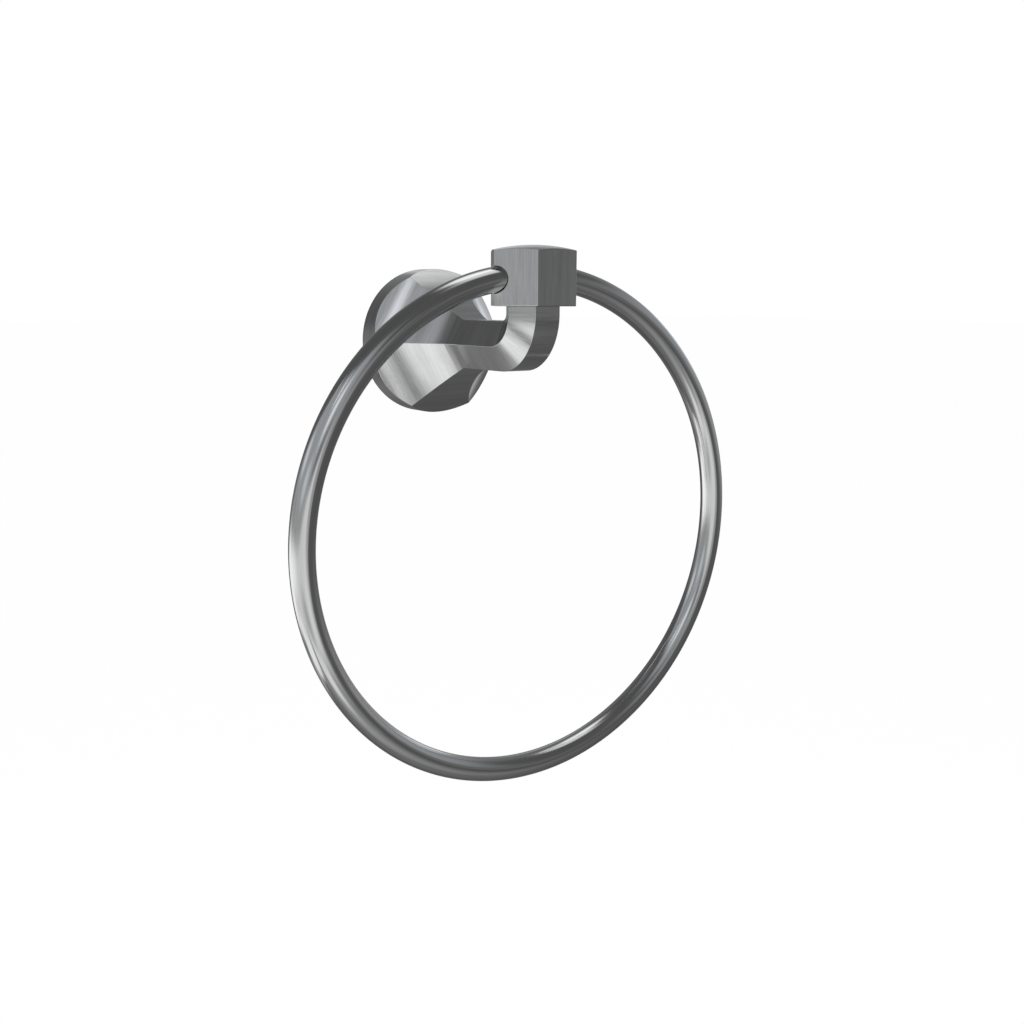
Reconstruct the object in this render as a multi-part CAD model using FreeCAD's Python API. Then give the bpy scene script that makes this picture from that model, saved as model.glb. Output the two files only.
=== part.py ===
"""Towel ring: a faceted wall rose and hexagonal arm in one casting, a larger hexagonal head and a round ring.

Frame: Z up, the wall is the plane y = 0, and the arm comes out of it towards -Y.
The origin is the centre of the bracket's back face, on the wall.
"""
import FreeCAD, Part
import math
import os

os.makedirs("parts", exist_ok=True)

Vec = FreeCAD.Vector
X_AXIS = Vec(1, 0, 0)
Y_AXIS = Vec(0, 1, 0)
Z_AXIS = Vec(0, 0, 1)

# Ring, in millimetres
ring_radius = 81.5            # to the centre of the rod
rod_diameter = 7.94

# Rose and arm
rose_diameter = 50.8
rose_rim_height = 7.5         # from the wall to the middle of a facet's outer edge
rose_rim_wall = 4.4           # wall between the rose's outside and the hollow in its back
facet_reach = 34.2            # from the wall to where the facets would meet the bar
side_facet_radius = 50.0      # hollow of the four facets at the sides
side_facet_blend = 20.0       # soft blend of those facets into the bar
end_facet_radius = 90.0       # hollow of the facets at the top and the bottom
end_facet_blend = 4.0         # tighter blend of those two into the bar
facet_overrun = 4.0           # the facets run this far past the rim before it cuts them off
bar_across_flats = 16.1
projection = 67.5             # from the wall to the plane of the ring
elbow_radius = 10.5           # bend of the bar's centre line

# Head
head_across_flats = 25.6
head_underside = 12.9         # above the arm's axis
metal_under_ring = 5.33       # from the underside to the rod at its highest point
metal_over_ring = 3.53        # from there to the top of the head at a corner
dome_radius = 56.0
head_edge_break = 0.2         # softened edge round the foot of the head

# Wall bracket
bracket_thickness = 6.0
bracket_play = 0.25           # between the bracket and the hollow of the rose, all round
bracket_groove_depth = 1.5
wall_hole_diameter = 4.6
wall_hole_spacing = 24.0
wall_hole_countersink = 8.8   # mouth of the countersink

# Screws and stud
rose_screw_diameter = 4.0
rose_screw_socket = 2.0       # across flats
rose_screw_height = 3.5       # from the wall to the screw's axis
rose_screw_recess = 0.4       # outer end below the rim's surface
ring_screw_diameter = 3.0
ring_screw_socket = 1.5       # across flats
ring_screw_recess = 0.4
screw_socket_depth = 1.6
screw_tip_diameter = 0.8      # flat at the end of a cone point
thread_play = 0.05            # between a thread and its hole, all round
seat_play = 0.05              # between a screw's point and what it bears on
stud_diameter = 6.0
stud_in_post = 8.0
stud_in_head = 10.5
stud_end_chamfer = 0.6
stud_hole_extra = 0.8         # each hole is this much deeper than the stud
ring_bore_play = 0.05         # between the rod and its bore, where they come closest
ring_bore_end_play = 0.4      # between the end of the rod and the bottom of its bore
stud_bore_web = 1.0           # metal between the stud's hole and a bore's bottom

# Worked out from the above
rod_radius = rod_diameter / 2
rose_radius = rose_diameter / 2
hollow_radius = rose_radius - rose_rim_wall
bar_half = bar_across_flats / 2
bar_corner = bar_half / math.cos(math.pi / 6)
head_half = head_across_flats / 2
head_corner = head_half / math.cos(math.pi / 6)
head_corner_height = metal_under_ring + rod_diameter + metal_over_ring
ring_top_height = head_underside + metal_under_ring + rod_radius
elbow_start = projection - elbow_radius
ring_centre_z = ring_top_height - ring_radius
bracket_radius = hollow_radius - bracket_play
rose_screw_radius = rose_screw_diameter / 2
ring_screw_radius = ring_screw_diameter / 2
stud_radius = stud_diameter / 2
ring_end_x = stud_radius + thread_play + stud_bore_web + ring_bore_end_play
ring_screw_x = (bar_corner + head_corner) / 2


def direction(degrees):
    """Unit vector in the plane of the wall, anticlockwise from +X as seen from the room."""
    turn = math.radians(degrees)
    return Vec(math.cos(turn), 0, math.sin(turn))


def hexagon(across_flats, centre, first_corner, normal):
    """Flat regular hexagon with one corner along first_corner."""
    corner = first_corner * (across_flats / 2 / math.cos(math.pi / 6))
    points = []
    for step in range(7):
        turn = FreeCAD.Rotation(normal, 60 * step)
        points.append(centre + turn.multVec(corner))
    return Part.Face(Part.makePolygon(points))


def facet_slab(degrees, hollow, blend):
    """Bar and rose between two opposite facets: their side outline, drawn out along the facets."""
    side = direction(degrees)
    along = direction(degrees + 90)

    # Each facet is an arc from the bar's flat to the rim, hollow side outwards
    chord_u = rose_radius - bar_half
    chord_y = facet_reach - rose_rim_height
    chord = math.hypot(chord_u, chord_y)
    lift = math.sqrt(hollow ** 2 - (chord / 2) ** 2)
    centre_u = (rose_radius + bar_half) / 2 + lift * chord_y / chord
    centre_y = -(facet_reach + rose_rim_height) / 2 - lift * chord_u / chord

    # A smaller arc runs from the flat into the facet's arc, and touches both
    blend_u = bar_half + blend
    blend_y = centre_y + math.sqrt((hollow - blend) ** 2 - (centre_u - blend_u) ** 2)
    toward_u = (blend_u - centre_u) / (hollow - blend)
    toward_y = (blend_y - centre_y) / (hollow - blend)
    half_turn = (math.atan2(toward_y, toward_u) + math.pi) / 2

    # The facet's arc goes on past the rim, so that the round rim cuts it cleanly
    over_u = rose_radius + facet_overrun
    over_y = centre_y + math.sqrt(hollow ** 2 - (centre_u - over_u) ** 2)

    def place(sign, u, y):
        return side * (sign * u) + Y_AXIS * y

    def half_edges(sign):
        flat_start = place(sign, bar_half, -elbow_start)
        blend_start = place(sign, bar_half, blend_y)
        blend_middle = place(sign, blend_u + blend * math.cos(half_turn),
                             blend_y + blend * math.sin(half_turn))
        blend_end = place(sign, centre_u + hollow * toward_u, centre_y + hollow * toward_y)
        middle_turn = (math.atan2(toward_y, toward_u) + math.atan2(over_y - centre_y, over_u - centre_u)) / 2
        facet_middle = place(sign, centre_u + hollow * math.cos(middle_turn),
                             centre_y + hollow * math.sin(middle_turn))
        facet_end = place(sign, over_u, over_y)
        wall_corner = place(sign, over_u, 0)
        return [
            Part.LineSegment(flat_start, blend_start).toShape(),
            Part.Arc(blend_start, blend_middle, blend_end).toShape(),
            Part.Arc(blend_end, facet_middle, facet_end).toShape(),
            Part.LineSegment(facet_end, wall_corner).toShape(),
        ]

    edges = half_edges(1) + half_edges(-1)
    edges.append(Part.LineSegment(place(1, over_u, 0), place(-1, over_u, 0)).toShape())
    edges.append(Part.LineSegment(place(1, bar_half, -elbow_start),
                                  place(-1, bar_half, -elbow_start)).toShape())
    outline = Part.Face(Part.Wire(Part.__sortEdges__(edges)))
    outline.translate(along * -(2 * rose_radius))
    return outline.extrude(along * (4 * rose_radius))


def rose_and_bar():
    """Three pairs of facets and the round rim meet in one solid, with the bar standing out of it."""
    solid = Part.makeCylinder(rose_radius, elbow_start, Vec(0, 0, 0), Y_AXIS * -1)
    solid = solid.common(facet_slab(90, end_facet_radius, end_facet_blend))
    for degrees in (30, 150):
        solid = solid.common(facet_slab(degrees, side_facet_radius, side_facet_blend))
    return solid


def elbow_and_post():
    """The bar's hexagon turns upwards, then runs straight up to the head."""
    bar_end = hexagon(bar_across_flats, Vec(0, -elbow_start, 0), X_AXIS, Y_AXIS)
    elbow = bar_end.revolve(Vec(0, -elbow_start, elbow_radius), X_AXIS * -1, 90)
    post_foot = hexagon(bar_across_flats, Vec(0, -projection, elbow_radius), X_AXIS, Z_AXIS)
    return elbow.fuse(post_foot.extrude(Z_AXIS * (head_underside - elbow_radius)))


def stud_hole(start_z, end_z):
    radius = stud_radius + thread_play
    return Part.makeCylinder(radius, end_z - start_z, Vec(0, -projection, start_z), Z_AXIS)


def make_wall_post():
    """Rose, bar, elbow and post, cast in one piece, hollow at the back for the bracket."""
    solid = rose_and_bar().fuse(elbow_and_post())
    hollow_depth = bracket_thickness + bracket_play
    solid = solid.cut(Part.makeCylinder(hollow_radius, hollow_depth, Vec(0, 0, 0), Y_AXIS * -1))
    screw_hole = Part.makeCylinder(rose_screw_radius + thread_play, rose_radius,
                                   Vec(0, -rose_screw_height, 0), Z_AXIS * -1)
    solid = solid.cut(screw_hole)
    solid = solid.cut(stud_hole(head_underside - stud_in_post - stud_hole_extra, head_underside))
    return solid.removeSplitter()


def rod_middle(x):
    """Where the middle of the rod is at that x, near the ring's highest point."""
    return Vec(x, -projection, ring_centre_z + math.sqrt(ring_radius ** 2 - x ** 2))


def ring_bore():
    """Straight bore for the right end of the ring: its axis is a chord of the rod's curve."""
    rod_end = rod_middle(ring_end_x)
    chord = rod_middle(head_corner) - rod_end
    outward = Vec(chord).normalize()
    bulge = ring_radius - math.sqrt(ring_radius ** 2 - (chord.Length / 2) ** 2)
    return Part.makeCylinder(rod_radius + bulge + ring_bore_play, chord.Length + head_corner,
                             rod_end - outward * ring_bore_end_play, outward)


def make_ring_head():
    """Hexagonal head with a shallow dome, bored from both sides for the ring."""
    foot = hexagon(head_across_flats, Vec(0, -projection, head_underside), X_AXIS, Z_AXIS)
    corner_top = head_underside + head_corner_height
    dome_rise = dome_radius - math.sqrt(dome_radius ** 2 - head_corner ** 2)
    solid = foot.extrude(Z_AXIS * (head_corner_height + dome_rise))
    foot_edges = [edge for edge in solid.Edges if edge.BoundBox.ZMax < head_underside + head_edge_break]
    solid = solid.makeChamfer(head_edge_break, foot_edges)
    dome_centre = Vec(0, -projection, corner_top + dome_rise - dome_radius)
    # The sphere lies on its side with its seam underneath, so that neither pole nor seam is on the dome
    sphere = Part.makeSphere(dome_radius, dome_centre, Y_AXIS)
    sphere.rotate(dome_centre, Y_AXIS, 180)
    solid = solid.common(sphere)
    solid = solid.cut(stud_hole(head_underside, head_underside + stud_in_head + stud_hole_extra))
    screw_hole = Part.makeCylinder(ring_screw_radius + thread_play, ring_top_height - head_underside,
                                   Vec(ring_screw_x, -projection, head_underside), Z_AXIS)
    for hole in (ring_bore(), screw_hole):
        solid = solid.cut(hole).cut(hole.mirror(Vec(0, 0, 0), X_AXIS))
    return solid.removeSplitter()


def make_towel_ring():
    """Round rod bent to a ring, open at the top, where its ends sit inside the head."""
    end_angle = math.degrees(math.asin(ring_end_x / ring_radius))
    centre = Vec(0, -projection, ring_centre_z)
    section = Part.Face(Part.Wire(Part.makeCircle(rod_radius, rod_middle(0), X_AXIS)))
    section.rotate(centre, Y_AXIS, end_angle)
    return section.revolve(centre, Y_AXIS, 360 - 2 * end_angle)


def make_wall_bracket():
    """Turned disc with a V groove round its edge and two countersunk holes on a level line."""
    front = -bracket_thickness
    groove_y = -rose_screw_height
    profile = [
        Vec(0, 0, 0),
        Vec(bracket_radius, 0, 0),
        Vec(bracket_radius, groove_y + bracket_groove_depth, 0),
        Vec(bracket_radius - bracket_groove_depth, groove_y, 0),
        Vec(bracket_radius, groove_y - bracket_groove_depth, 0),
        Vec(bracket_radius, front, 0),
        Vec(0, front, 0),
        Vec(0, 0, 0),
    ]
    solid = Part.Face(Part.makePolygon(profile)).revolve(Vec(0, 0, 0), Y_AXIS, 360)
    hole_radius = wall_hole_diameter / 2
    mouth_radius = wall_hole_countersink / 2
    for side in (-1, 1):
        centre = Vec(side * wall_hole_spacing / 2, front, 0)
        hole = Part.makeCylinder(hole_radius, bracket_thickness, centre, Y_AXIS)
        countersink = Part.makeCone(mouth_radius, hole_radius, mouth_radius - hole_radius, centre, Y_AXIS)
        solid = solid.cut(hole).cut(countersink)
    return solid


def grub_screw(diameter, socket, outer_end, inward, length, first_corner):
    """Headless screw with a cone point and a hexagonal socket in its outer end."""
    radius = diameter / 2
    tip_radius = screw_tip_diameter / 2
    shank_length = length - (radius - tip_radius)
    shank = Part.makeCylinder(radius, shank_length, outer_end, inward)
    cone = Part.makeCone(radius, tip_radius, radius - tip_radius, outer_end + inward * shank_length, inward)
    recess = hexagon(socket, outer_end, first_corner, inward).extrude(inward * screw_socket_depth)
    return shank.fuse(cone).cut(recess)


def make_rose_set_screw():
    """Holds the rose on the bracket: its cone point sits in the bracket's groove."""
    start = rose_radius - rose_screw_recess
    # The flat tip stops where the groove's sides leave room for it
    end = bracket_radius - bracket_groove_depth + screw_tip_diameter / 2 + seat_play
    return grub_screw(rose_screw_diameter, rose_screw_socket, Vec(0, -rose_screw_height, -start),
                      Z_AXIS, start - end, X_AXIS)


def make_ring_set_screw(side):
    """Grips one end of the ring from the underside of the head."""
    nearest_x = ring_screw_x + screw_tip_diameter / 2
    rod_inside = ring_radius - rod_radius
    rod_underside = ring_centre_z + math.sqrt(rod_inside ** 2 - nearest_x ** 2)
    start = head_underside + ring_screw_recess
    return grub_screw(ring_screw_diameter, ring_screw_socket, Vec(side * ring_screw_x, -projection, start),
                      Z_AXIS, rod_underside - seat_play - start, X_AXIS)


def make_head_stud():
    """Threaded stud that joins the head to the post and passes between the ends of the ring."""
    length = stud_in_post + stud_in_head
    foot = Vec(0, -projection, head_underside - stud_in_post)
    stud = Part.makeCylinder(stud_radius, length, foot, Z_AXIS)
    end_edges = [edge for edge in stud.Edges if edge.Closed]
    return stud.makeChamfer(stud_end_chamfer, end_edges)


nodes = {
    "wall_bracket": make_wall_bracket(),
    "wall_post": make_wall_post(),
    "ring_head": make_ring_head(),
    "towel_ring": make_towel_ring(),
    "head_stud": make_head_stud(),
    "rose_set_screw": make_rose_set_screw(),
    "ring_set_screw_left": make_ring_set_screw(-1),
    "ring_set_screw_right": make_ring_set_screw(1),
}

for name, shape in nodes.items():
    box = shape.BoundBox
    print(name, "solids", len(shape.Solids), "valid", shape.isValid(), "volume", round(shape.Volume, 1),
          "x", round(box.XMin, 2), round(box.XMax, 2), "y", round(box.YMin, 2), round(box.YMax, 2),
          "z", round(box.ZMin, 2), round(box.ZMax, 2))
    shape.exportStep("parts/" + name + ".step")
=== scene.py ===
"""Looks of the towel ring: brushed steel with its grain, and the studio that it stands in.

Metres, in the frame of the CAD: Z up, the wall is the plane y = 0 and the arm comes out of it towards -Y.
Azimuths are in degrees from +Y towards +X, elevations are up from level.
"""
import math

import bmesh
import bpy
from mathutils import Matrix, Vector


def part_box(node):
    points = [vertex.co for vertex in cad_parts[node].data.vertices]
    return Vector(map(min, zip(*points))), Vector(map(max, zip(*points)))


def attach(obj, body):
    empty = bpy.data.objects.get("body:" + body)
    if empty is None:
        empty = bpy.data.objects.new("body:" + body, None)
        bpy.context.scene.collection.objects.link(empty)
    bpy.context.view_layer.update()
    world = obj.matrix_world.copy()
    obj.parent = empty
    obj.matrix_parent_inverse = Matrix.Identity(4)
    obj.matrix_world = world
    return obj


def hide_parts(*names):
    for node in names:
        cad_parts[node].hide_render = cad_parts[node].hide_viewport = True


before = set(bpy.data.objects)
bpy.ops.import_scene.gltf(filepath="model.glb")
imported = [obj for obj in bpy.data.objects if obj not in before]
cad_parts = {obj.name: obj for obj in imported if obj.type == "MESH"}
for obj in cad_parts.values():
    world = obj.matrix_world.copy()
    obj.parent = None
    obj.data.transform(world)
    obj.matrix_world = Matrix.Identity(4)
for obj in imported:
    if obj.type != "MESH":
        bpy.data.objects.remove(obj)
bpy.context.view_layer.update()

# Places on the arm, as in the CAD
ARM_PLANE_Y = -0.0675             # the ring's plane, and the axis of the post
ELBOW_RADIUS = 0.0105
ROSE_RADIUS = 0.0254
RIM_MARGIN = 0.0002               # what lies this near to the rose's radius belongs to its rim
RING_END_X = 0.00445              # where the ring's ends stop inside the head
ON_END = 0.7                      # a face of the head that faces this much up or down is no side

# Camera, solved from the outlines in the photograph
CAMERA_PLACE = Vector((-0.21724, -0.370228, 0.015279))
CAMERA_AZIMUTH = 34.702
CAMERA_TILT = 11.657              # looking down
CAMERA_ROLL = 0.24
CAMERA_LENS = 40.615
CAMERA_SHIFT_Y = 0.0241

# Metals
BODY_COLOUR = (0.458, 0.461, 0.461)
RING_COLOUR = (0.454, 0.457, 0.457)
BRACKET_COLOUR = (0.60, 0.60, 0.61)
SCREW_COLOUR = (0.14, 0.14, 0.145)

# Brushing, where both kinds of line go from 0 to 1
LEAST_SHADE = 0.64                # of the metal's colour, between the lines
FINE_SHADE = 0.42                 # how much of the colour the fine lines add
BROAD_SHADE = 0.30                # and the broad ones
FINE_ROUGHNESS = 0.10             # how far the fine lines spread the roughness
BROAD_LINES = 0.12                # broad lines for one fine line
BROAD_RUN = 0.4                   # length of a fine line, in lengths of a broad one
BROAD_RELIEF = 0.6                # height of the broad lines, in heights of the fine ones

# Smudges, edge wear and the painted highlight along edges
SMUDGE_ROUGHNESS = 0.05           # what smudges add to the roughness
SMUDGE_RANGE = (0.42, 0.72)       # cloud strengths between which a smudge fades in
EDGE_POLISH = -0.05               # what a rubbed edge adds to the roughness
EDGE_WEAR_AND_HIGHLIGHT = 2.0                   # wear and painted highlight for one unit of bend at an edge
EDGE_WEAR_AND_HIGHLIGHT_ON_LINES = 8.0          # and how much more on the fine lines

# How finely the ring is swept
ROD_SIDES = 72
RING_STEPS = 420


# Small tools

def direction(azimuth, elevation):
    """The unit vector that points that way."""
    azimuth, elevation = math.radians(azimuth), math.radians(elevation)
    level = math.cos(elevation)
    return Vector((math.sin(azimuth) * level, math.cos(azimuth) * level, math.sin(elevation)))


def node(tree, kind, inputs=None, **settings):
    """A new node in the tree, whose inputs are values, or the sockets that they are linked from."""
    made = tree.nodes.new(kind)
    for name, value in settings.items():
        setattr(made, name, value)
    for name, value in (inputs or {}).items():
        if isinstance(value, bpy.types.NodeSocket):
            tree.links.new(value, made.inputs[name])
        else:
            made.inputs[name].default_value = value
    return made


def math_node(tree, operation, *values, clamp=False):
    """The result of a Math node on those values."""
    made = node(tree, "ShaderNodeMath", dict(enumerate(values)), operation=operation, use_clamp=clamp)
    return made.outputs[0]


def vector_node(tree, operation, *values):
    """The vector result of a Vector Math node on those values."""
    made = node(tree, "ShaderNodeVectorMath", dict(enumerate(values)), operation=operation)
    return made.outputs["Vector"]


def scaled(tree, vector, scale):
    """The vector times the scale. Both may be sockets."""
    made = node(tree, "ShaderNodeVectorMath", {0: vector, "Scale": scale}, operation="SCALE")
    return made.outputs["Vector"]


def length(tree, *parts):
    """The length of the vector with those two or three parts."""
    vector = node(tree, "ShaderNodeCombineXYZ", dict(enumerate(parts))).outputs[0]
    return node(tree, "ShaderNodeVectorMath", {0: vector}, operation="LENGTH").outputs["Value"]


def mixed(tree, factor, first, second):
    """The number first where the factor is 0, and second where it is 1."""
    return node(tree, "ShaderNodeMix", {"Factor": factor, "A": first, "B": second}).outputs["Result"]


def new_group(name, inputs, outputs):
    """A shader node group with those sockets, and its input and output nodes."""
    group = bpy.data.node_groups.new(name, "ShaderNodeTree")
    for label, kind, value in inputs:
        socket = group.interface.new_socket(label, in_out="INPUT", socket_type=kind)
        socket.default_value = value
    for label, kind in outputs:
        group.interface.new_socket(label, in_out="OUTPUT", socket_type=kind)
    return group, group.nodes.new("NodeGroupInput"), group.nodes.new("NodeGroupOutput")


def place_group(tree, group, **inputs):
    """The group as a node in the tree. An underscore in an input's name stands for a space."""
    made = node(tree, "ShaderNodeGroup", node_tree=group)
    for name, value in inputs.items():
        socket = made.inputs[name.replace("_", " ").capitalize()]
        if isinstance(value, bpy.types.NodeSocket):
            tree.links.new(value, socket)
        else:
            socket.default_value = value
    return made


def new_object(name, bm):
    """An object in the scene, at the origin, with that mesh."""
    mesh = bpy.data.meshes.new(name)
    bm.to_mesh(mesh)
    bm.free()
    made = bpy.data.objects.new(name, mesh)
    bpy.context.scene.collection.objects.link(made)
    return made


# Effects that several materials share

def make_arm_group():
    """Coordinates on the flats of the arm and the facets of the rose.

    Outwards is the distance of the flat from the arm's axis, Sideways runs across it, and Along runs out
    from the wall, round the elbow and up the post. On the rose's rim, Sideways runs round the rim.
    """
    group, given, result = new_group(
        "Flats of the arm", [("Position", "NodeSocketVector", (0, 0, 0))],
        [("Outwards", "NodeSocketFloat"), ("Sideways", "NodeSocketFloat"), ("Along", "NodeSocketFloat")])
    place = node(group, "ShaderNodeSeparateXYZ", {0: given.outputs["Position"]}).outputs
    surface = node(group, "ShaderNodeNewGeometry")
    facing = node(group, "ShaderNodeSeparateXYZ", {0: surface.outputs["Normal"]}).outputs

    # The bar's axis is y, and the post's is z. Between them both turn about the middle of the elbow
    bend_start = -(ARM_PLANE_Y + ELBOW_RADIUS)
    beyond = math_node(group, "SUBTRACT", -bend_start, place["Y"])
    in_bend = math_node(group, "GREATER_THAN", beyond, 0.0)
    beyond = math_node(group, "MAXIMUM", beyond, 0.0)
    below = math_node(group, "MAXIMUM", math_node(group, "SUBTRACT", ELBOW_RADIUS, place["Z"]), 0.0)
    turn = math_node(group, "ARCTAN2", beyond, below)
    bent = math_node(group, "SUBTRACT", ELBOW_RADIUS, length(group, beyond, below))
    height = mixed(group, in_bend, place["Z"], bent)
    facing_out = math_node(group, "MULTIPLY", facing["Y"], math_node(group, "SINE", turn))
    facing_up = math_node(group, "MULTIPLY_ADD", facing["Z"], math_node(group, "COSINE", turn), facing_out)
    post_height = math_node(group, "MAXIMUM", math_node(group, "SUBTRACT", place["Z"], ELBOW_RADIUS), 0.0)
    along = math_node(group, "MINIMUM", math_node(group, "MULTIPLY", place["Y"], -1.0), bend_start)
    along = math_node(group, "MULTIPLY_ADD", turn, ELBOW_RADIUS, along)
    along = math_node(group, "MULTIPLY_ADD", post_height, in_bend, along)

    # Each flat faces the middle of its sixth of a turn
    sixth = math.pi / 3
    facing_turn = math_node(group, "ARCTAN2", facing_up, facing["X"])
    flat = math_node(group, "FLOOR", math_node(group, "DIVIDE", facing_turn, sixth))
    flat_turn = math_node(group, "MULTIPLY_ADD", flat, sixth, sixth / 2)
    cosine, sine = math_node(group, "COSINE", flat_turn), math_node(group, "SINE", flat_turn)
    outwards = math_node(group, "ADD", math_node(group, "MULTIPLY", place["X"], cosine),
                         math_node(group, "MULTIPLY", height, sine))
    sideways = math_node(group, "SUBTRACT", math_node(group, "MULTIPLY", height, cosine),
                         math_node(group, "MULTIPLY", place["X"], sine))

    on_rim = math_node(group, "GREATER_THAN", length(group, place["X"], height), ROSE_RADIUS - RIM_MARGIN)
    round_rim = math_node(group, "MULTIPLY", math_node(group, "ARCTAN2", height, place["X"]), ROSE_RADIUS)
    group.links.new(mixed(group, on_rim, outwards, ROSE_RADIUS), result.inputs["Outwards"])
    group.links.new(mixed(group, on_rim, sideways, round_rim), result.inputs["Sideways"])
    group.links.new(along, result.inputs["Along"])
    return group


def make_brushed_group():
    """Lines left by brushing: fine ones, and broad ones where the belt pressed harder."""
    group, given, result = new_group(
        "Brushed lines",
        [("Across", "NodeSocketVector", (0, 0, 0)), ("Along", "NodeSocketFloat", 0.0),
         ("Lines per unit", "NodeSocketFloat", 4000.0), ("Line length", "NodeSocketFloat", 0.02)],
        [("Fine", "NodeSocketFloat"), ("Broad", "NodeSocketFloat")])
    run = math_node(group, "DIVIDE", given.outputs["Along"], given.outputs["Line length"])
    run = node(group, "ShaderNodeCombineXYZ", {"Z": run}).outputs[0]
    lines = scaled(group, given.outputs["Across"], given.outputs["Lines per unit"])
    lines_and_run = vector_node(group, "ADD", lines, run)
    fine = node(group, "ShaderNodeTexNoise",
                {"Vector": lines_and_run, "Scale": 1.0, "Detail": 3.0, "Roughness": 0.65})
    bands = vector_node(group, "ADD", scaled(group, lines, BROAD_LINES), scaled(group, run, BROAD_RUN))
    broad = node(group, "ShaderNodeTexNoise",
                 {"Vector": bands, "Scale": 1.0, "Detail": 2.0, "Roughness": 0.5})
    group.links.new(fine.outputs["Fac"], result.inputs["Fine"])
    group.links.new(broad.outputs["Fac"], result.inputs["Broad"])
    return group


def make_edge_group():
    """Edges that handling has rounded, painted brighter along them: a painted highlight, partly also wear
    from rubbing.
    """
    group, given, result = new_group(
        "Worn edges and painted highlight", [("Radius", "NodeSocketFloat", 0.0002), ("Grain", "NodeSocketFloat", 0.5)],
        [("Wear and highlight", "NodeSocketFloat"), ("Normal", "NodeSocketVector")])
    rounded = node(group, "ShaderNodeBevel", {"Radius": given.outputs["Radius"]}, samples=8)
    surface = node(group, "ShaderNodeNewGeometry")
    agreement = node(group, "ShaderNodeVectorMath", {0: rounded.outputs[0], 1: surface.outputs["Normal"]},
                     operation="DOT_PRODUCT").outputs["Value"]
    bend = math_node(group, "SUBTRACT", 1.0, agreement)
    strength = math_node(group, "MULTIPLY_ADD", given.outputs["Grain"], EDGE_WEAR_AND_HIGHLIGHT_ON_LINES, EDGE_WEAR_AND_HIGHLIGHT)
    wear = math_node(group, "MULTIPLY", bend, strength, clamp=True)
    group.links.new(wear, result.inputs["Wear and highlight"])
    group.links.new(rounded.outputs[0], result.inputs["Normal"])
    return group


def make_smudge_group():
    """Faint clouds where hands and water have dulled the surface."""
    group, given, result = new_group(
        "Smudges",
        [("Position", "NodeSocketVector", (0, 0, 0)), ("Patches per metre", "NodeSocketFloat", 60.0)],
        [("Dulling", "NodeSocketFloat")])
    cloud = node(group, "ShaderNodeTexNoise",
                 {"Vector": given.outputs["Position"], "Scale": given.outputs["Patches per metre"],
                  "Detail": 5.0, "Roughness": 0.6, "Distortion": 0.6})
    dulling = node(group, "ShaderNodeMapRange",
                   {"Value": cloud.outputs["Fac"], "From Min": SMUDGE_RANGE[0], "From Max": SMUDGE_RANGE[1]},
                   interpolation_type="SMOOTHSTEP")
    group.links.new(dulling.outputs[0], result.inputs["Dulling"])
    return group


arm_group = make_arm_group()
brushed_group = make_brushed_group()
edge_group = make_edge_group()
smudge_group = make_smudge_group()


# Materials

def start_material(name):
    """A new material, its node tree and its Principled shader."""
    material = bpy.data.materials.new(name)
    material.use_nodes = True
    return material, material.node_tree, material.node_tree.nodes["Principled BSDF"]


def brushed_metal(tree, shader, position, across, along, colour, lines, line_length, roughness, depth,
                  edge_radius, edge_highlight_and_wear_gain):
    """Colour, roughness and relief of a brushed metal, from the coordinates across and along its lines.

    lines are the lines for one unit across, and line_length and depth are in metres. The edge gain is how
    many times brighter than its colour the metal is painted along its edges: a painted highlight, partly
    also wear from rubbing.
    """
    grain = place_group(tree, brushed_group, across=across, along=along, lines_per_unit=lines,
                        line_length=line_length)
    edges = place_group(tree, edge_group, radius=edge_radius, grain=grain.outputs["Fine"])
    smudges = place_group(tree, smudge_group, position=position)
    shade = math_node(tree, "MULTIPLY_ADD", grain.outputs["Fine"], FINE_SHADE, LEAST_SHADE)
    shade = math_node(tree, "MULTIPLY_ADD", grain.outputs["Broad"], BROAD_SHADE, shade)
    # Painted highlight: along the edges the colour is made brighter by the edge gain, partly also standing
    # for wear from rubbing
    edge_colour_highlit_and_worn = tuple(min(1.0, part * edge_highlight_and_wear_gain) for part in colour) + (1.0,)
    worn_and_highlit_colour = node(tree, "ShaderNodeMix",
                {"Factor": edges.outputs["Wear and highlight"], "A": scaled(tree, colour, shade), "B": edge_colour_highlit_and_worn},
                data_type="RGBA").outputs["Result"]
    tree.links.new(worn_and_highlit_colour, shader.inputs["Base Color"])
    least_rough = roughness - FINE_ROUGHNESS / 2
    rough = math_node(tree, "MULTIPLY_ADD", grain.outputs["Fine"], FINE_ROUGHNESS, least_rough)
    rough = math_node(tree, "MULTIPLY_ADD", smudges.outputs["Dulling"], SMUDGE_ROUGHNESS, rough)
    rough = math_node(tree, "MULTIPLY_ADD", edges.outputs["Wear and highlight"], EDGE_POLISH, rough, clamp=True)
    tree.links.new(rough, shader.inputs["Roughness"])
    relief = math_node(tree, "MULTIPLY_ADD", grain.outputs["Broad"], BROAD_RELIEF, grain.outputs["Fine"])
    bump = node(tree, "ShaderNodeBump", {"Height": relief, "Normal": edges.outputs["Normal"],
                                         "Strength": 1.0, "Distance": depth})
    tree.links.new(bump.outputs[0], shader.inputs["Normal"])
    shader.inputs["Metallic"].default_value = 1.0


def make_body_material():
    """Rose and arm: lines that run across the facets and round the arm."""
    material, tree, shader = start_material("brushed_body")
    position = node(tree, "ShaderNodeTexCoord").outputs["Object"]
    flats = place_group(tree, arm_group, position=position).outputs
    across = node(tree, "ShaderNodeCombineXYZ", {"X": flats["Outwards"], "Y": flats["Along"]}).outputs[0]
    brushed_metal(tree, shader, position, across, flats["Sideways"], BODY_COLOUR,
                  lines=2600.0, line_length=0.012, roughness=0.16, depth=0.0000025,
                  edge_radius=0.0002, edge_highlight_and_wear_gain=1.1)
    return material


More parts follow.
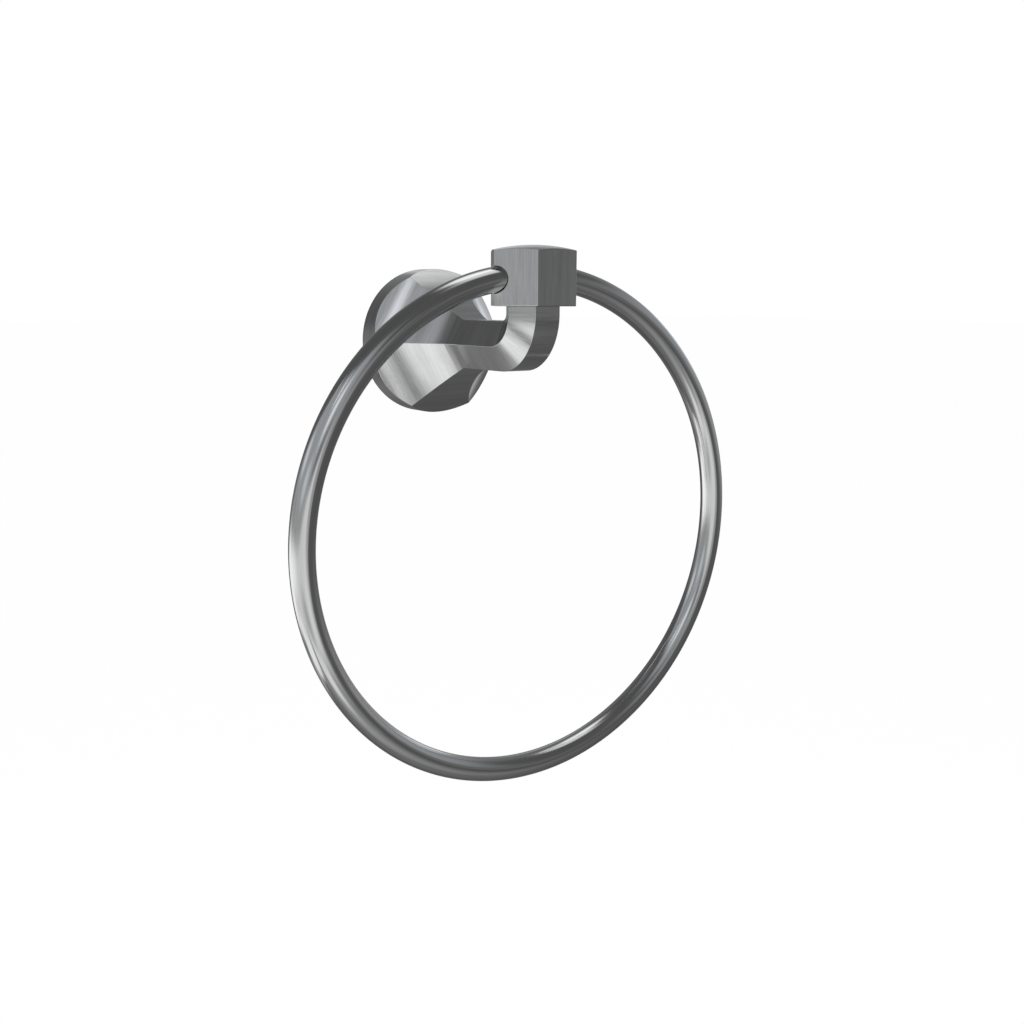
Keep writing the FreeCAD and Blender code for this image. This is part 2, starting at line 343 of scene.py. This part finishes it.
def make_head_material():
    """Head: upright lines on its flats, and level ones over the dome and the underside."""
    material, tree, shader = start_material("brushed_head")
    position = node(tree, "ShaderNodeTexCoord").outputs["Object"]
    place = node(tree, "ShaderNodeSeparateXYZ", {0: position}).outputs
    surface = node(tree, "ShaderNodeNewGeometry")
    facing = node(tree, "ShaderNodeSeparateXYZ", {0: surface.outputs["Normal"]})
    on_end = math_node(tree, "GREATER_THAN", math_node(tree, "ABSOLUTE", facing.outputs["Z"]), ON_END)
    upright = node(tree, "ShaderNodeCombineXYZ", {"X": place["X"], "Y": place["Y"]}).outputs[0]
    level = node(tree, "ShaderNodeCombineXYZ", {"Y": place["Y"]}).outputs[0]
    across = node(tree, "ShaderNodeMix", {"Factor": on_end, "A": upright, "B": level}, data_type="VECTOR")
    along = node(tree, "ShaderNodeMix", {"Factor": on_end, "A": place["Z"], "B": place["X"]})
    # The edge gain paints a highlight along the head's edges
    brushed_metal(tree, shader, position, across.outputs["Result"], along.outputs["Result"], BODY_COLOUR,
                  lines=3500.0, line_length=0.010, roughness=0.19, depth=0.000012,
                  edge_radius=0.0003, edge_highlight_and_wear_gain=1.2)
    return material


def make_ring_material():
    """Ring: lines along the rod, from its own UV map."""
    material, tree, shader = start_material("ring_rod")
    position = node(tree, "ShaderNodeTexCoord").outputs["Object"]
    along_and_round = node(tree, "ShaderNodeUVMap", uv_map="rod").outputs[0]
    place = node(tree, "ShaderNodeSeparateXYZ", {0: along_and_round}).outputs
    turn = math_node(tree, "MULTIPLY", place["Y"], 2 * math.pi)
    across = node(tree, "ShaderNodeCombineXYZ",
                  {"X": math_node(tree, "COSINE", turn), "Y": math_node(tree, "SINE", turn)}).outputs[0]
    brushed_metal(tree, shader, position, across, place["X"], RING_COLOUR,
                  lines=14.0, line_length=0.03, roughness=0.12, depth=0.000003,
                  edge_radius=0.0002, edge_highlight_and_wear_gain=1.2)
    return material


def make_bracket_material():
    """Bracket: turned, so its lines run round its axis."""
    material, tree, shader = start_material("bracket_steel")
    position = node(tree, "ShaderNodeTexCoord").outputs["Object"]
    place = node(tree, "ShaderNodeSeparateXYZ", {0: position}).outputs
    radius = length(tree, place["X"], place["Z"])
    across = node(tree, "ShaderNodeCombineXYZ", {"X": radius, "Y": place["Y"]}).outputs[0]
    brushed_metal(tree, shader, position, across, radius, BRACKET_COLOUR,
                  lines=3000.0, line_length=0.02, roughness=0.3, depth=0.000006,
                  edge_radius=0.0002, edge_highlight_and_wear_gain=1.35)
    return material


def make_screw_material():
    """Screws and stud: blackened steel, painted brighter at the edges, partly wear from rubbing and partly a
    painted highlight.
    """
    material, tree, shader = start_material("dark_screw")
    position = node(tree, "ShaderNodeTexCoord").outputs["Object"]
    place = node(tree, "ShaderNodeSeparateXYZ", {0: position}).outputs
    brushed_metal(tree, shader, position, position, place["Z"], SCREW_COLOUR,
                  lines=2500.0, line_length=0.01, roughness=0.42, depth=0.000004,
                  edge_radius=0.0001, edge_highlight_and_wear_gain=1.6)
    return material


materials = {
    "wall_post": make_body_material(),
    "ring_head": make_head_material(),
    "wall_bracket": make_bracket_material(),
}
ring_material = make_ring_material()
screw_material = make_screw_material()
for screw in ("head_stud", "rose_set_screw", "ring_set_screw_left", "ring_set_screw_right"):
    materials[screw] = screw_material
for name, material in materials.items():
    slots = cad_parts[name].data.materials
    slots.clear()
    slots.append(material)


# The ring, swept finely so that its long highlights stay smooth

def make_towel_ring():
    """The rod bent to a ring, from one end inside the head to the other, with lines along its UV map."""
    low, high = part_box("towel_ring")
    rod_radius = (high.y - low.y) / 2
    ring_radius = (high.x - low.x) / 2 - rod_radius
    centre = Vector((0, (high.y + low.y) / 2, low.z + rod_radius + ring_radius))
    gap = math.asin(RING_END_X / ring_radius)
    bm = bmesh.new()
    section = bmesh.ops.create_circle(bm, segments=ROD_SIDES, radius=rod_radius)["verts"]
    stand_up = Matrix.Rotation(math.pi / 2, 4, "Y")
    to_top = Matrix.Translation(centre + Vector((0, 0, ring_radius)))
    bmesh.ops.transform(bm, matrix=to_top @ stand_up, verts=section)
    bmesh.ops.rotate(bm, verts=section, cent=centre, matrix=Matrix.Rotation(gap, 3, "Y"))
    bmesh.ops.spin(bm, geom=bm.verts[:] + bm.edges[:], cent=centre, axis=(0, 1, 0),
                   angle=2 * math.pi - 2 * gap, steps=RING_STEPS)
    rims = [edge for edge in bm.edges if edge.is_boundary]
    bmesh.ops.holes_fill(bm, edges=rims, sides=0)
    bmesh.ops.recalc_face_normals(bm, faces=bm.faces[:])
    for face in bm.faces:
        face.smooth = len(face.verts) == 4

    def turns(place):
        """Angles of a place on the rod: along the ring, and round the rod."""
        reach = math.hypot(place.x, place.z) - ring_radius
        return math.atan2(-place.x, -place.z), math.atan2(place.y, reach)

    # A corner's angles stay within half a turn of its face's, so that no face is stretched over the map
    along_and_round = bm.loops.layers.uv.new("rod")
    for face in bm.faces:
        middle = turns(face.calc_center_median() - centre)
        for loop in face.loops:
            corner = turns(loop.vert.co - centre)
            along, around = [math.remainder(angle - own, 2 * math.pi) + own
                             for angle, own in zip(corner, middle)]
            loop[along_and_round].uv = (along * ring_radius, around / (2 * math.pi))
    ring = new_object("towel_ring_rod", bm)
    ring.data.materials.append(ring_material)
    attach(ring, "root")
    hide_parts("towel_ring")


make_towel_ring()


# Studio: a white world and floor, and round the part a tent with soft panels that only its metal sees

FLOOR_HEIGHT = -1.2
FLOOR_HALF = 60.0
FLOOR_COLOUR = (0.95, 0.95, 0.95, 1)
FLOOR_WHITE = 0.8                 # how much of the floor is plain white to the camera; the rest takes shadow
TENT_RADIUS = 1.1
TENT_CENTRE = Vector((0, -0.05, -0.06))
TENT_BELOW = 0.155                # brightness of the tent straight below the part
TENT_ABOVE = 0.155                # and straight above it
TENT_SEGMENTS = 96
COOL_LIGHT = (0.968, 1.0, 1.045, 1.0)
COOL_STRENGTH = (0.15, 0.5)       # brightness between which the light turns cool
COOL_BAND = (-2, 12, 44, 58)      # elevations between which the light fades to cool and back to white

# Azimuth, elevation, half the width, half the height (degrees), softness of the edge, brightness
PANELS = {
    "wall_behind": (50, 32, 43, 26, 0.4, 0.275),
    "back_low": (344, -32, 26, 9, 0.5, 0.30),
    "back_left": (335, 2, 12, 10, 0.6, 0.28),
    "behind_low": (46, -5, 14, 8, 0.5, 0.50),
    "floor": (222, -72, 55, 26, 0.6, 0.265),
    "floor_left": (212, -52, 42, 15, 0.7, 0.55),
    "window": (249, 6, 72, 43, 0.12, 0.60),
    "window_front_top": (208, 33, 18, 12, 0.6, 0.62),
    "window_left": (191, -12, 28, 19, 0.35, 1.18),
    "window_low": (252, -27, 70, 20, 0.25, 1.20),
    "floor_front": (217, -42, 18, 9, 0.5, 1.32),
    "floor_shade": (224, -27, 16, 7, 0.7, 0.75),
    "window_low_right": (279, -15, 20, 7, 0.7, 1.66),
    "window_corner": (315, -18, 19, 13, 0.35, 1.80),
    "window_left_edge": (170, 0, 9, 15, 0.8, 0.55),
    "window_right_gap": (294, 3, 12, 6, 0.6, 0.50),
    "upper_light": (216, 28, 9, 9, 0.6, 1.4),
    "upper_light_back": (293, 21, 12, 6, 0.6, 1.15),
    "upper_light_top": (239, 41.5, 1.9, 5.5, 0.6, 2.4),
    "window_dim": (200, 10, 12, 6, 0.6, 0.34),
    "window_middle": (242, 12, 13, 6, 0.6, 1.0),
    "window_back_top": (283, 43, 7, 6, 0.4, 0.66),
    "upper_streak": (255, 47, 4, 4, 0.8, 0.72),
    "sill": (282, -43, 20, 7, 0.25, 1.6),
    "floor_back": (318, -43, 10, 6, 0.6, 0.75),
    "window_sill": (291, -33, 13, 5, 0.7, 1.6),
    "corner_shade": (337, -35, 8, 7, 0.8, 0.34),
    "floor_gap": (248, -46, 4, 12, 0.8, 0.36),
    "overhead": (74, 73, 19, 12, 0.35, 2.0),
    "overhead_right": (124, 68, 13, 9, 0.6, 1.3),
    "overhead_corner": (36, 61, 7, 5, 0.7, 1.0),
    "overhead_edge": (81, 62, 10, 6, 0.25, 1.35),
    "right_wall": (94, 12, 41, 21, 0.4, 0.50),
    "right_far": (140, 2, 14, 8, 0.6, 0.25),
    "right_lamp": (78, 15, 13, 6, 0.6, 0.85),
    "behind": (58, 9, 6, 5, 0.6, 1.5),
    "behind_dome": (32, 19, 10, 6, 0.6, 0.8),
}


def make_panel_group():
    """One soft-edged oval panel, seen in a direction from the part."""
    group, given, result = new_group(
        "Soft panel",
        [("Direction", "NodeSocketVector", (0, 0, 0)), ("Under", "NodeSocketFloat", 0.0),
         ("Azimuth", "NodeSocketFloat", 0.0), ("Elevation", "NodeSocketFloat", 0.0),
         ("Half width", "NodeSocketFloat", 0.1), ("Half height", "NodeSocketFloat", 0.1),
         ("Softness", "NodeSocketFloat", 0.5), ("Brightness", "NodeSocketFloat", 1.0)],
        [("Light", "NodeSocketFloat")])
    turned = node(group, "ShaderNodeVectorRotate",
                  {"Vector": given.outputs["Direction"], "Angle": given.outputs["Azimuth"]},
                  rotation_type="Z_AXIS")
    downwards = math_node(group, "MULTIPLY", given.outputs["Elevation"], -1.0)
    level = node(group, "ShaderNodeVectorRotate", {"Vector": turned.outputs[0], "Angle": downwards},
                 rotation_type="X_AXIS")
    seen = node(group, "ShaderNodeSeparateXYZ", {0: level.outputs[0]}).outputs
    angle_sideways = math_node(group, "ARCTAN2", seen["X"], seen["Y"])
    angle_upwards = math_node(group, "ARCSINE", seen["Z"])
    sideways = math_node(group, "DIVIDE", angle_sideways, given.outputs["Half width"])
    upwards = math_node(group, "DIVIDE", angle_upwards, given.outputs["Half height"])
    cover = node(group, "ShaderNodeMapRange",
                 {"Value": length(group, sideways, upwards),
                  "From Min": math_node(group, "ADD", 1.0, given.outputs["Softness"]),
                  "From Max": math_node(group, "SUBTRACT", 1.0, given.outputs["Softness"])},
                 interpolation_type="SMOOTHSTEP").outputs[0]
    light = mixed(group, cover, given.outputs["Under"], given.outputs["Brightness"])
    group.links.new(light, result.inputs["Light"])
    return group


def make_tent():
    """The sphere whose inside glows with the panels, for the metal alone to see."""
    bm = bmesh.new()
    bmesh.ops.create_uvsphere(bm, u_segments=TENT_SEGMENTS, v_segments=TENT_SEGMENTS // 2,
                              radius=TENT_RADIUS)
    for face in bm.faces:
        face.smooth = True
    tent = new_object("studio_tent", bm)
    tent.location = TENT_CENTRE
    tent.visible_camera = False
    tent.visible_diffuse = False
    tent.visible_shadow = False
    material = bpy.data.materials.new("tent_panels")
    material.use_nodes = True
    tree = material.node_tree
    tree.nodes.clear()
    outward = vector_node(tree, "NORMALIZE", node(tree, "ShaderNodeTexCoord").outputs["Object"])
    height = node(tree, "ShaderNodeSeparateXYZ", {0: outward}).outputs["Z"]
    light = node(tree, "ShaderNodeMapRange", {"Value": height, "From Min": -1.0, "From Max": 1.0,
                                              "To Min": TENT_BELOW, "To Max": TENT_ABOVE}).outputs[0]
    panel_group = make_panel_group()
    for azimuth, elevation, half_width, half_height, softness, brightness in PANELS.values():
        light = place_group(tree, panel_group, direction=outward, under=light,
                            azimuth=math.radians(azimuth), elevation=math.radians(elevation),
                            half_width=math.radians(half_width), half_height=math.radians(half_height),
                            softness=softness, brightness=brightness).outputs["Light"]
    cool_heights = [math.sin(math.radians(elevation)) for elevation in COOL_BAND]
    fades = [node(tree, "ShaderNodeMapRange", {"Value": height, "From Min": first, "From Max": last},
                  interpolation_type="SMOOTHSTEP").outputs[0]
             for first, last in (cool_heights[:2], cool_heights[2:])]
    bright = node(tree, "ShaderNodeMapRange",
                  {"Value": light, "From Min": COOL_STRENGTH[0], "From Max": COOL_STRENGTH[1]},
                  interpolation_type="SMOOTHSTEP").outputs[0]
    coolness = math_node(tree, "MULTIPLY", bright, math_node(tree, "SUBTRACT", *fades))
    tint = node(tree, "ShaderNodeMix", {"Factor": coolness, "A": (1, 1, 1, 1), "B": COOL_LIGHT},
                data_type="RGBA").outputs["Result"]
    glow = node(tree, "ShaderNodeEmission", {"Color": tint, "Strength": light})
    node(tree, "ShaderNodeOutputMaterial", {"Surface": glow.outputs[0]})
    tent.data.materials.append(material)


def white_to_the_eye(tree):
    """1 for the rays that show the background: from the camera, and off metal and glass."""
    rays = node(tree, "ShaderNodeLightPath").outputs
    seen = math_node(tree, "MAXIMUM", rays["Is Camera Ray"], rays["Is Glossy Ray"])
    return math_node(tree, "MAXIMUM", seen, rays["Is Transmission Ray"])


def make_floor():
    """Pale floor that reaches the horizon."""
    bm = bmesh.new()
    bmesh.ops.create_grid(bm, x_segments=8, y_segments=8, size=FLOOR_HALF)
    floor = new_object("floor", bm)
    floor.location.z = FLOOR_HEIGHT
    material = bpy.data.materials.new("pale_floor")
    material.use_nodes = True
    tree = material.node_tree
    tree.nodes.clear()
    paint = node(tree, "ShaderNodeBsdfDiffuse", {"Color": FLOOR_COLOUR})
    white = node(tree, "ShaderNodeEmission", {"Strength": 1.0})
    share = math_node(tree, "MULTIPLY", white_to_the_eye(tree), FLOOR_WHITE)
    blend = node(tree, "ShaderNodeMixShader", {0: share, 1: paint.outputs[0], 2: white.outputs[0]})
    node(tree, "ShaderNodeOutputMaterial", {"Surface": blend.outputs[0]})
    floor.data.materials.append(material)


def make_world():
    """White all round."""
    world = bpy.data.worlds.new("studio")
    bpy.context.scene.world = world
    world.use_nodes = True
    background = world.node_tree.nodes["Background"]
    background.inputs["Color"].default_value = (1, 1, 1, 1)
    background.inputs["Strength"].default_value = 1.0


def make_lamp(name, azimuth, elevation, distance, size, power):
    """Soft square lamp that points at the middle of the part and shows in no reflection."""
    lamp = bpy.data.lights.new(name, "AREA")
    lamp.size = size
    lamp.energy = power
    made = bpy.data.objects.new(name, lamp)
    bpy.context.scene.collection.objects.link(made)
    away = direction(azimuth, elevation)
    made.location = TENT_CENTRE + away * distance
    made.rotation_euler = away.to_track_quat("Z", "Y").to_euler()
    made.visible_glossy = False


def make_camera():
    """Camera at the photograph's viewing angle."""
    data = bpy.data.cameras.new("photo_camera")
    data.lens = CAMERA_LENS
    data.shift_y = CAMERA_SHIFT_Y
    data.clip_start = 0.01
    camera = bpy.data.objects.new("photo_camera", data)
    bpy.context.scene.collection.objects.link(camera)
    backwards = -direction(CAMERA_AZIMUTH, -CAMERA_TILT)
    level = direction(CAMERA_AZIMUTH + 90, 0)
    axes = Matrix((level, backwards.cross(level), backwards)).transposed()
    roll = Matrix.Rotation(math.radians(CAMERA_ROLL), 3, "Z")
    camera.matrix_world = Matrix.Translation(CAMERA_PLACE) @ (axes @ roll).to_4x4()
    bpy.context.scene.camera = camera


make_tent()
make_floor()
make_world()
make_lamp("key_lamp", azimuth=215, elevation=55, distance=1.6, size=1.2, power=9.0)
make_lamp("fill_lamp", azimuth=110, elevation=35, distance=1.8, size=1.2, power=4.0)
make_camera()
bpy.context.scene.view_settings.view_transform = "Standard"
